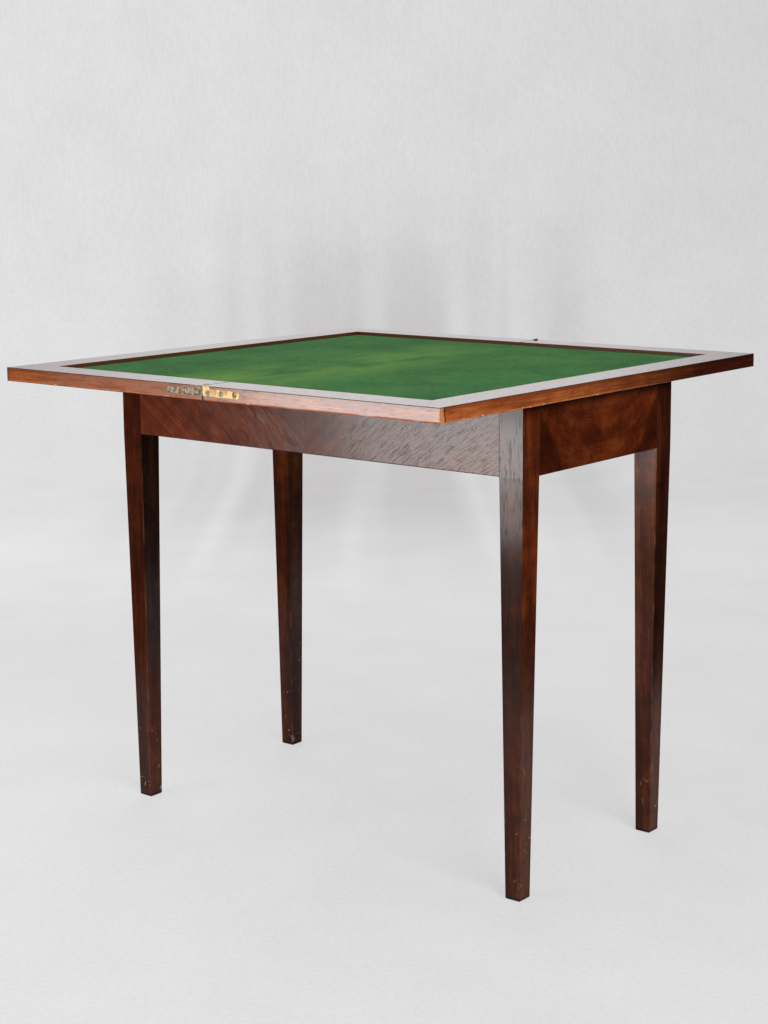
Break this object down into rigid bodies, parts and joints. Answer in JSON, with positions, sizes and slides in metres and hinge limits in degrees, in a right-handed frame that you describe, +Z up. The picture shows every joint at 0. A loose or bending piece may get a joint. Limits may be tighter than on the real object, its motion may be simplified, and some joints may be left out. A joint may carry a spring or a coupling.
{
  "type": "folding card table",
  "caption": "Square card table on four tapered legs; its baize-lined top folds in half and swivels on a pivot over a card well in the frame.",
  "frame": {"origin": "on the floor, under the centre of the frame and of the open top", "axes": "+X along the frame, from the card well to the fixed leaf's end; +Y to the back, -Y to the long side seen in the picture; +Z up"},
  "size_m": [0.836, 0.836, 0.7423],
  "materials": {
    "mahogany": "French polished, worn",
    "mahogany_veneer": "matched veneer, polished",
    "carcase_wood": "planed, unpolished, aged",
    "baize": "green woollen baize",
    "bright_brass": "worn bright",
    "tarnished_brass": "tarnished",
    "steel_screws": "dull",
    "black_iron": "forged, oxidised"
  },
  "bodies": {
    "frame": {"leg_front_left": "mahogany", "leg_front_right": "mahogany", "leg_back_left": "mahogany", "leg_back_right": "mahogany", "apron_front": "carcase_wood", "apron_back": "carcase_wood", "apron_left": "carcase_wood", "apron_right": "carcase_wood", "veneer_front": "mahogany_veneer", "veneer_back": "mahogany_veneer", "veneer_left": "mahogany_veneer", "veneer_right": "mahogany_veneer", "pivot_rail": "carcase_wood", "well_partition": "carcase_wood", "well_floor": "carcase_wood", "floor_nails": "black_iron", "cleat_front": "carcase_wood", "cleat_back": "carcase_wood", "cleat_left": "carcase_wood", "cleat_partition": "carcase_wood"},
    "fixed_leaf": {"fixed_panel": "carcase_wood", "fixed_border_front": "mahogany", "fixed_border_back": "mahogany", "fixed_border_end": "mahogany", "baize_fixed": "baize", "hinge_fixed_front": "bright_brass", "hinge_fixed_back": "bright_brass", "hinge_pin_front": "bright_brass", "hinge_pin_back": "bright_brass", "hinge_screws_fixed": "steel_screws", "pivot_plate": "black_iron", "pivot_plate_screws": "black_iron", "pivot_bolt": "black_iron", "pivot_washer": "black_iron", "pivot_nut": "black_iron", "stop_pin": "black_iron"},
    "folding_leaf": {"folding_panel": "carcase_wood", "folding_border_front": "mahogany", "folding_border_back": "mahogany", "folding_border_end": "mahogany", "baize_folding": "baize", "show_veneer": "mahogany_veneer", "hinge_folding_front": "tarnished_brass", "hinge_folding_back": "tarnished_brass", "hinge_screws_folding": "steel_screws"}
  },
  "joints": [
    {"name": "top_swivel", "type": "hinge", "parent": "frame", "child": "fixed_leaf", "pos_m": [0.1045, 0.1045, 0.7187], "axis": [0, 0, 1], "range_deg": [-90, 0]},
    {"name": "leaf_fold", "type": "hinge", "parent": "fixed_leaf", "child": "folding_leaf", "pos_m": [0, 0, 0.7403], "axis": [0, 1, 0], "range_deg": [0, 180]}
  ]
}
